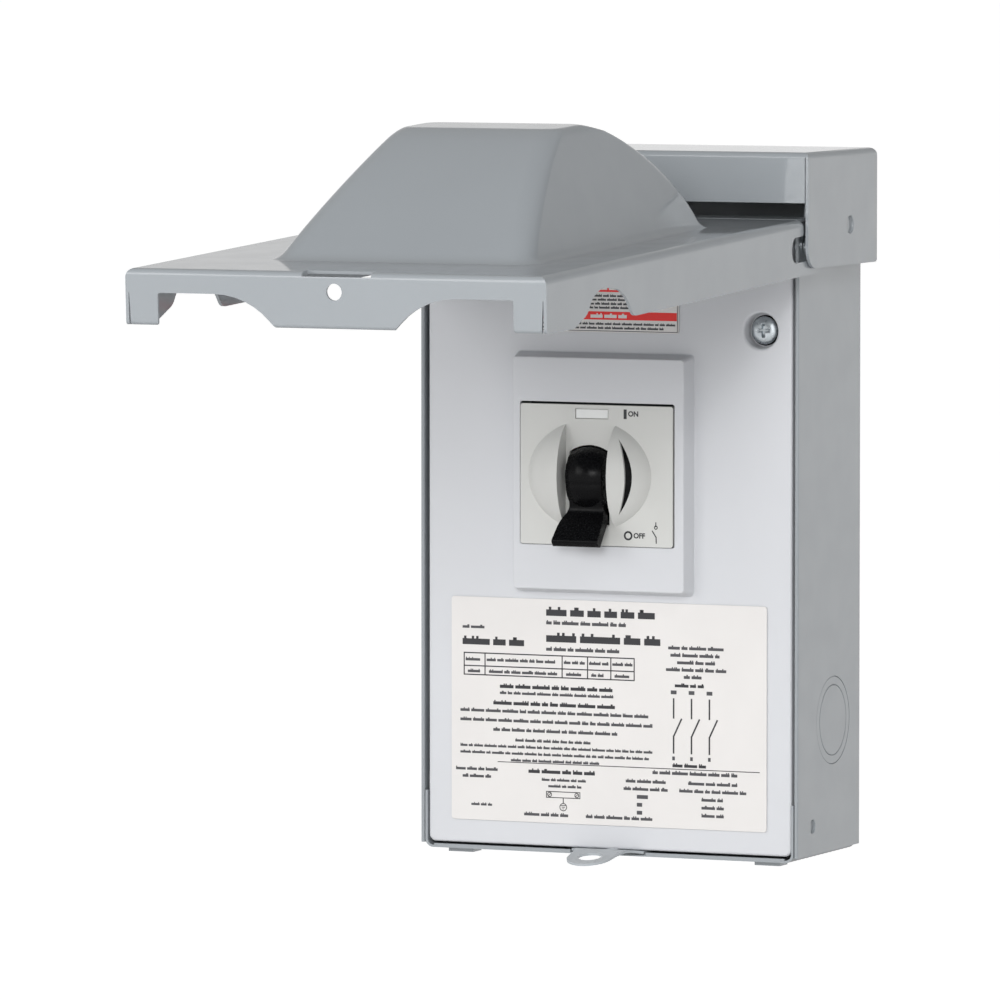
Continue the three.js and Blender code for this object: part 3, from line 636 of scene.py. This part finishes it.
def phillips_screw(x, z, face, radius, head, shank, length):
    """A pan head with a tapered cross recess on a plain shank."""
    profile = [(shank, face + head + length), (shank, face + head)]
    profile += [(radius * r, face + head * y) for r, y in (
        (0.97, 1), (1, 0.8), (0.97, 0.5), (0.86, 0.24), (0.66, 0.07), (0.4, 0), (0, 0))]
    body = lathe("y", x, z, profile, 64)
    arm = radius * 0.6
    blade = radius * 0.15
    depth = face + head * 0.62

    def wing(long, wide):
        mouth = [(x - long, face - 0.5, z - wide), (x + long, face - 0.5, z - wide),
                 (x + long, face - 0.5, z + wide), (x - long, face - 0.5, z + wide)]
        taper = 0.5
        floor = [(x + (p[0] - x) * taper, depth, z + (p[2] - z) * taper) for p in mouth]
        return loft([mouth, floor])

    return cut(body, wing(arm, blade), wing(blade, arm))


# ---------------------------------------------------------------- switch front
def ellipsoid(centre, sizes, columns=96, rows=48):
    """A smooth ellipsoid, its poles on the y axis."""
    rings = []
    for k in range(1, rows):
        a = math.pi * k / rows
        ring = []
        for i in range(columns):
            b = 2 * math.pi * i / columns
            ring.append(centre + Vector((sizes[0] * math.sin(a) * math.cos(b), -sizes[1] * math.cos(a),
                                         sizes[2] * math.sin(a) * math.sin(b))))
        rings.append(ring)
    return loft(rings)


def crescent(tip_x, tip_z, outer, inner, steps=16):
    """A crescent in (x, z), thick at the toggle's height and pointed above and below it."""
    low = Vector((tip_x, TOGGLE.z - tip_z))
    high = Vector((tip_x, TOGGLE.z + tip_z))
    line = []
    for start, end, pull in ((low, high, outer), (high, low, inner)):
        control = Vector((pull, TOGGLE.z))
        for k in range(steps):
            t = k / steps
            line.append(start * (1 - t) ** 2 + control * 2 * t * (1 - t) + end * t ** 2)
    return line


def guard_dome(under):
    """The domed guard round the toggle, or a surface a little under it."""
    return ellipsoid(Vector((TOGGLE.x, PLATE_Y + 5, TOGGLE.z)), (29 - under, 16 - under, 24.2 - under))


def faceplate():
    """The switch's front plate with its domed guard, opened for the toggle and the lock slot."""
    outline = rounded([(-36.7, -18.3, 1), (31.7, -18.3, 1), (31.7, 39.9, 1), (-36.7, 39.9, 1)])
    plate = prism(outline, "y", PLATE_Y, PLATE_Y + 2.5)
    guard = guard_dome(0)
    guard = common(guard, box(-60, 60, -110, PLATE_Y + 1, -60, 80))
    guard = cut(guard, box(-16.2, 5.9, -110, PLATE_Y + 0.01, -60, 80))
    lugs = [box(x, x + 5, PLATE_Y + 2, -66.5, 5, 16) for x in (-20, 4.6)]
    plate = join(plate, guard, *lugs)
    well = box(TOGGLE.x - 8.9, TOGGLE.x + 8.9, PLATE_Y - 1, PLATE_Y + 4, -9.8, TOGGLE.z + 9)
    sweep = [(10.4 + 2.7 * (1 - (k / 9) ** 2), TOGGLE.x + k) for k in range(-9, 10)]
    sweep = lathe("x", TOGGLE.y, TOGGLE.z, sweep, 96)
    axle = cylinder("x", TOGGLE.y, TOGGLE.z, 2.5, -19, 8.4)
    slot = prism(crescent(9.2, 15.8, 22.6, 17), "y", -110, PLATE_Y + 1)
    window = box(-12, 2.8, PLATE_Y - 1, PLATE_Y + 1.2, 34.1, 38.3)
    return cut(plate, well, sweep, axle, slot, window)


def toggle():
    """The crowned rocker drum and its flared thumb paddle, at OFF."""
    def crown(across):
        return 12.6 - 2.4 * (across / 8.3) ** 2

    profile = [(crown(8.3) - 0.5, -8.3)] + [(crown(k * 0.8), k * 0.8) for k in range(-10, 11)]
    profile += [(crown(8.3) - 0.5, 8.3)]
    y, z = TOGGLE.y, TOGGLE.z
    drum = lathe("x", y, z, [(r, TOGGLE.x + c) for r, c in profile], 96)
    # A black copy of the drum set 3 mm lower. It is partly the toggle's neck, and partly a dark fill
    # standing in for the painted shadow and dark well below the drum, beside the paddle.
    neck_and_shade = lathe("x", y, z - 3, [(r - 0.4, TOGGLE.x + c * 0.985) for r, c in profile], 96)
    side = rounded([
        (y - 5, z - 2), (y - 8.2, z - 9.6, 2), (y - 6.6, z - 14.2, 2.2), (y - 19.1, z - 26.3, 1.0),
        (y - 16.4, z - 29.2, 1.3), (y - 4.6, z - 17.6, 3), (y - 3.6, z - 13, 1), (y - 2, z - 8),
    ])
    front = rounded([
        (TOGGLE.x - 7.6, z), (TOGGLE.x - 7.2, z - 13.6, 3), (TOGGLE.x - 10.2, z - 18.2, 3),
        (TOGGLE.x - 10.8, z - 32, 2.5), (TOGGLE.x + 10.4, z - 32, 2.5), (TOGGLE.x + 9.4, z - 18.2, 3),
        (TOGGLE.x + 7.2, z - 13.6, 3), (TOGGLE.x + 7.6, z),
    ])
    paddle = common(prism(side, "x", TOGGLE.x - 12, TOGGLE.x + 12), prism(front, "y", -100, -60))
    axle = cylinder("x", y, z, 2.1, -18.6, 8)
    return join(drum, neck_and_shade, paddle, axle)


# ---------------------------------------------------------------- printing
class Print:
    """Flat marks on a face that looks to the front, gathered into one mesh."""

    def __init__(self, y):
        self.y = y
        self.bm = bmesh.new()

    def shape(self, outline):
        self.bm.faces.new([self.bm.verts.new((a, self.y, b)) for a, b in outline])

    def bar(self, x0, x1, z0, z1):
        self.shape([(x0, z0), (x1, z0), (x1, z1), (x0, z1)])

    def stroke(self, start, end, width):
        start, end = Vector(start), Vector(end)
        side = (end - start).orthogonal().normalized() * width / 2
        self.shape([start - side, start + side, end + side, end - side])

    def frame(self, x0, x1, z0, z1, width):
        self.bar(x0, x1, z0, z0 + width)
        self.bar(x0, x1, z1 - width, z1)
        self.bar(x0, x0 + width, z0 + width, z1 - width)
        self.bar(x1 - width, x1, z0 + width, z1 - width)

    def ring(self, x, z, radius, width, count=32):
        outer, inner = circle(x, z, radius, count), circle(x, z, radius - width, count)
        for i in range(count):
            j = (i + 1) % count
            self.shape([outer[i], outer[j], inner[j], inner[i]])

    def words(self, x0, x1, z, height, chance):
        """A greeked line: bars as long as words, with no letters in them."""
        x = x0
        base, waist, cap = z - height / 2, z + height * 0.2, z + height / 2
        while x < x1 - height:
            end = min(x + height * chance.uniform(1.4, 4.6), x1)
            self.bar(x, end, base, waist)
            tall = [chance.uniform(x, end - height * 0.3) for _ in range(1 + int((end - x) / height / 1.6))]
            for at in tall:
                self.bar(at, at + height * 0.3, waist, cap)
            x = end + height * 0.42

    def piece(self, name, material, body="root"):
        return piece(to_object(self.bm), name, material, body, bevel=0)


def lettering(text, x, z, height, y, name):
    """The word on a switch position, as a flat mesh."""
    curve = bpy.data.curves.new(name, "FONT")
    curve.body = text
    curve.size = height / 0.7
    curve.offset = height * 0.055
    source = bpy.data.objects.new(name, curve)
    bpy.context.scene.collection.objects.link(source)
    held = bpy.context.evaluated_depsgraph_get()
    mesh = bpy.data.meshes.new_from_object(source.evaluated_get(held))
    bpy.data.objects.remove(source)
    shape = bpy.data.objects.new(name, mesh)
    bpy.context.scene.collection.objects.link(shape)
    mesh.transform(Matrix.Translation((x, y, z)) @ Matrix.Rotation(math.pi / 2, 4, "X"))
    return shape


LABEL_Y = FRONT_Y - 0.6


def rating_print():
    """The large label: greeked lines, a ruled table, and a plain switch schematic."""
    ink = Print(LABEL_Y - 0.03)
    fine = Print(LABEL_Y - 0.03)
    chance = random.Random(7)
    for x0, x1, z, height in ((-28, 21, -46.8, 3.8), (-28, 23.5, -57.6, 4.0), (-66, -38, -60.0, 3.6),
                              (-49, 2, -78.6, 1.9), (-52, 4, -85.6, 1.9), (-36, -5, -113.6, 1.9),
                              (30, 43, -75.6, 1.7), (29, 44, -108.8, 1.7)):
        ink.words(x0, x1, z, height, chance)
    for x0, x1, z, height in (
        (-28, 8, -51.4, 1.8), (-28, 6, -62.4, 1.8), (-66, -55, -54.2, 1.5), (-49, 4, -81.4, 1.4),
        (-67, 20, -89.0, 1.6), (-67, 20, -92.9, 1.6), (-52, 6, -96.8, 1.6), (-42, -6, -101.0, 1.4),
        (-67, 20, -103.8, 1.3), (-67, 20, -106.6, 1.3), (-44, -4, -109.4, 1.3), (-69, -50, -113.6, 1.5),
        (-66, -53, -116.6, 1.5), (-30, -10, -117.0, 1.3), (-27, -12, -119.6, 1.3), (-38, -18, -131.6, 1.6),
        (-10, 20, -131.6, 1.6), (27, 52, -60.0, 1.7), (28, 50, -63.0, 1.7), (31, 48, -66.0, 1.7),
        (26, 53, -69.0, 1.7), (34, 44, -72.0, 1.7), (20, 58, -112.0, 1.7), (8, 26, -116.0, 1.6),
        (7, 27, -119.2, 1.6), (36, 58, -116.0, 1.6), (32, 62, -119.2, 1.6), (-62, -52, -128.4, 1.3),
    ):
        fine.words(x0, x1, z, height, chance)
    for row in range(3):
        z = -122.6 - 3.3 * row
        fine.bar(13, 13 + (5 if row == 0 else 2.4), z - 0.8, z + 0.8)
        fine.words(42, 52, z, 1.6, chance)
    ink.frame(-65.5, 12, -74.6, -65.0, 0.5)
    ink.bar(-65.5, 12, -70.9, -70.4)
    for x in (-56, -21, -9.5, 1):
        ink.bar(x, x + 0.5, -74.6, -65.0)
    ink.bar(-50, 68, -110.6, -110.25)
    for x0, x1 in ((-64.6, -57), (-55, -22), (-20, -10.5), (-8.6, 0.2), (1.9, 11)):
        fine.words(x0, x1, -67.8, 1.5, chance)
        fine.words(x0 + 1, x1 - 1, -72.7, 1.5, chance)
    for x in (29.5, 37.5, 45.5):
        fine.bar(x - 1.3, x + 1.3, -79.4, -77.8)
        ink.stroke((x, -81.0), (x, -89.5), 0.7)
        ink.stroke((x, -96.6), (x, -104.0), 0.7)
        ink.stroke((x, -96.9), (x + 3.6, -89.4), 0.7)
        fine.bar(x - 0.6, x + 0.6, -106.8, -105.2)
    ink.frame(-28.0, -12.5, -124.6, -121.8, 0.35)
    for x in (-26.4, -14.1):
        ink.ring(x, -123.2, 1.05, 0.35, 20)
        ink.stroke((x - 0.8, -123.9), (x + 0.8, -122.5), 0.3)
    ink.stroke((-20.2, -124.6), (-20.2, -126.6), 0.4)
    ink.ring(-20.2, -128.3, 1.7, 0.35)
    for half, z in ((1.1, -127.6), (0.75, -128.3), (0.4, -129.0)):
        ink.bar(-20.2 - half, -20.2 + half, z - 0.15, z + 0.15)
    ink.piece("rating_label_ink", INK)
    fine.piece("rating_label_fine_print", GREYED)


def caution_print():
    """The upper label: two red bands and greeked lines in a thin frame."""
    red = Print(LABEL_Y - 0.02)
    ink = Print(LABEL_Y - 0.03)
    pale = Print(LABEL_Y - 0.04)
    chance = random.Random(11)
    for z0, z1 in ((74.9, 78.3), (86.4, 90.0)):
        red.bar(-34.2, 30.7, z0, z1)
        pale.words(-8, 10, (z0 + z1) / 2, 1.9, chance)
        pale.shape([(-13.2, z0 + 0.8), (-10.2, z0 + 0.8), (-11.7, z1 - 0.7)])
    ink.frame(-34.6, 31.1, 70.1, CAUTION_TOP - 0.4, 0.3)
    for z, end in ((71.6, 26), (73.3, 30), (80.0, 22), (81.6, 30), (83.3, 18), (84.9, 29)):
        ink.words(-33, end, z, 1.1, chance)
    red.piece("caution_label_red", RED)
    ink.piece("caution_label_ink", GREYED)
    pale.piece("caution_label_pale", PAPER)


def plate_print():
    """The marks on the switch's front plate: a bar with ON, a ring with OFF, a contact symbol."""
    ink = Print(PLATE_Y - 0.03)
    ink.bar(9.7, 11.1, 34.4, 38.4)
    ink.ring(11.8, -13.8, 1.95, 0.8)
    ink.ring(24.2, -10.1, 0.85, 0.4, 20)
    ink.stroke((24.2, -9.9), (24.2, -7.9), 0.45)
    ink.stroke((24.4, -16.7), (24.3, -13.9), 0.5)
    ink.stroke((24.3, -14.1), (22.5, -11.4), 0.5)
    ink.piece("switch_marks", INK)
    for text, x, z in (("ON", 11.7, 35.6), ("OFF", 14.2, -14.7)):
        word = lettering(text, x, z, 2.05, PLATE_Y - 0.03, "mark_" + text)
        piece(word, "mark_" + text.lower(), INK, bevel=0)


# ---------------------------------------------------------------- assembly
CAUTION_TOP = 103.0

piece(back_box(), "box_sheet", GREY, nodes=["back_box"])
piece(bottom_pan(), "pan_sheet", GREY, nodes=["bottom_pan"])
piece(top_hood(), "hood_sheet", GREY, nodes=["top_hood"])
piece(hasp(), "hasp_plate", BLUED, nodes=["hasp"])
for side, word in ((1, "right"), (-1, "left")):
    low, high = sorted((side * 85.35, side * 90.35))
    piece(cylinder("x", *HOOD_CLINCH, 4.1, low, high), "hood_clinch_" + word, GREY,
          nodes=["hood_rivet_" + word], bevel=0.3)
    low, high = sorted((side * 81.4, side * 83.75))
    piece(cylinder("x", *PAN_CLINCH, 3.3, low, high), "pan_clinch_" + word, GREY,
          nodes=["pan_rivet_" + word], bevel=0.3)
    low, high = sorted((side * WALL_IN, side * 84.95))
    slug = cylinder("x", *KNOCKOUT, SLUG_R, low, high, 96)
    piece(slug, "side_slug_" + word, GREY, nodes=["knockout_slug_" + word], bevel=0.3)
    ring = cut(cylinder("x", *KNOCKOUT, RING_R, low, high, 96),
               cylinder("x", *KNOCKOUT, SLUG_R + 0.05, low - 1, high + 1, 96))
    piece(ring, "side_ring_" + word, GREY, nodes=["knockout_ring_" + word], bevel=0.3)

piece(lid(), "lid_shell", GREY, body="lid", nodes=["lid"])

piece(dead_front(), "front_panel", PALE, nodes=["dead_front"], bevel=0.15)
screw = phillips_screw(SCREW.x, SCREW.z, CUP_FLOOR - 3.4, 5.8, 2.2, 2.4, 10.5)
piece(screw, "front_screw", ZINC, nodes=["dead_front_screw"], bevel=0.12)
washer_profile = [(6.2, CUP_FLOOR - 0.3), (6.3, CUP_FLOOR - 0.6), (6.1, CUP_FLOOR - 0.9),
                  (2.8, CUP_FLOOR - 0.9)]
piece(lathe("y", SCREW.x, SCREW.z, washer_profile), "front_washer", BLACK,
      nodes=["screw_washer"], bevel=0)

for name, x0, x1, z0, z1 in (("rating", -71, 71, -135.1, -41.8),
                             ("caution", -35, 31.5, 69.7, CAUTION_TOP)):
    outline = rounded([(x0, z0, 1.2), (x1, z0, 1.2), (x1, z1, 1.2), (x0, z1, 1.2)])
    film = prism(outline, "y", LABEL_Y, LABEL_Y + 0.3)
    piece(film, name + "_film", PAPER, nodes=[name + "_label"], bevel=0.06)
rating_print()
caution_print()

piece(faceplate(), "switch_front", IVORY, nodes=["switch_faceplate"],
      bevel=0.35, segments=3)
piece(toggle(), "toggle_rocker", BLACK, body="toggle", nodes=["toggle_handle"], bevel=0.3)
insert = common(prism(crescent(9.4, 15.2, 22.3, 17.1), "y", -110, PLATE_Y + 0.6), guard_dome(0.9))
piece(insert, "lock_insert", BLACK, nodes=["padlock_slot_insert"], bevel=0.15)
plate_print()

dress(["switch_housing", "switch_base"], CASE)
dress(["contact_carrier"], IVORY)
dress(["indicator_window"], CLEAR, 0.15)
dress(["screw_bracket", "dead_front_ledge", "back_knockout", "bottom_knockout_1", "bottom_knockout_2"],
      GREY)
dress(["din_rail", "rail_screw_1", "rail_screw_2", "hinge_pin_right", "hinge_pin_left"], ZINC)
for k in (1, 2, 3):
    dress([f"contact_bridge_{k}", f"line_terminal_{k}", f"load_terminal_{k}"], COPPER)
    dress([f"line_screw_{k}", f"load_screw_{k}", f"ground_screw_{k}"], ZINC)
dress(["ground_bar"], COPPER)


# ---------------------------------------------------------------- stage
def floor():
    """A pale ground that glows white further out, so that it fades into the background."""
    mesh = bpy.data.meshes.new("ground")
    mesh.from_pydata([(-120, -120, -0.6), (120, -120, -0.6), (120, 120, -0.6), (-120, 120, -0.6)], [],
                     [(0, 1, 2, 3)])
    ground = bpy.data.objects.new("ground", mesh)
    bpy.context.scene.collection.objects.link(ground)
    surface = Surface("ground", (0.8, 0.8, 0.8), 0.9)
    distance = surface.tree.nodes.new("ShaderNodeVectorMath")
    distance.operation = "LENGTH"
    surface.tree.links.new(surface.place, distance.inputs[0])
    fade = surface.tree.nodes.new("ShaderNodeMapRange")
    fade.inputs["From Min"].default_value = 2.0
    fade.inputs["From Max"].default_value = 3.2
    surface.tree.links.new(distance.outputs["Value"], fade.inputs["Value"])
    fade.inputs["To Max"].default_value = 0.72
    surface.tree.links.new(fade.outputs["Result"], surface.shader.inputs["Emission Strength"])
    surface.set("Emission Color", (1, 1, 1, 1))
    surface.set("Specular IOR Level", 0)
    mesh.materials.append(surface.material)


def area_light(name, place, target, size, power):
    light = bpy.data.lights.new(name, "AREA")
    light.shape = "RECTANGLE"
    light.size, light.size_y = size
    light.energy = power
    lamp = bpy.data.objects.new(name, light)
    lamp.location = place
    lamp.rotation_mode = "QUATERNION"
    lamp.rotation_quaternion = (Vector(target) - Vector(place)).to_track_quat("-Z", "Y")
    bpy.context.scene.collection.objects.link(lamp)


def stage():
    """World, ground, three lights and the camera."""
    scene = bpy.context.scene
    scene.view_settings.view_transform = "Standard"
    world = bpy.data.worlds.new("studio")
    world.use_nodes = True
    tree = world.node_tree
    height = tree.nodes.new("ShaderNodeSeparateXYZ")
    tree.links.new(tree.nodes.new("ShaderNodeTexCoord").outputs["Generated"], height.inputs["Vector"])
    sky = tree.nodes.new("ShaderNodeMapRange")
    sky.inputs["To Min"].default_value = 0.95
    sky.inputs["To Max"].default_value = 0.38
    sky.inputs["From Max"].default_value = 0.4
    tree.links.new(height.outputs["Z"], sky.inputs["Value"])
    right = tree.nodes.new("ShaderNodeMapRange")
    right.inputs["From Min"].default_value = 0.15
    right.inputs["From Max"].default_value = 0.95
    right.inputs["To Min"].default_value = 1.0
    right.inputs["To Max"].default_value = 0.55
    tree.links.new(height.outputs["X"], right.inputs["Value"])
    glow = tree.nodes.new("ShaderNodeMath")
    glow.operation = "MULTIPLY"
    tree.links.new(sky.outputs["Result"], glow.inputs[0])
    tree.links.new(right.outputs["Result"], glow.inputs[1])
    tree.links.new(glow.outputs["Value"], tree.nodes["Background"].inputs["Strength"])
    tree.nodes["Background"].inputs["Color"].default_value = (1, 1, 1, 1)
    scene.world = world
    floor()
    area_light("key_left", (-1.5, -2.5, 1.0), (0, -0.1, 0), (1.2, 1.4), 18)
    area_light("key_right", (0.75, -3.0, 0.95), (0, -0.1, 0), (1.0, 1.2), 46)
    area_light("edge", (1.7, -1.4, 2.1), (0, -0.2, 0.1), (0.4, 0.4), 7)
    lens = bpy.data.cameras.new("camera")
    lens.lens = 352.71
    lens.sensor_width = 36
    camera = bpy.data.objects.new("camera", lens)
    camera.location = (1.5924, -3.7881, 0.2818)
    camera.rotation_euler = (math.pi / 2 - 0.0695, 0, 0.4157)
    bpy.context.scene.collection.objects.link(camera)
    scene.camera = camera


stage()
bpy.context.view_layer.update()
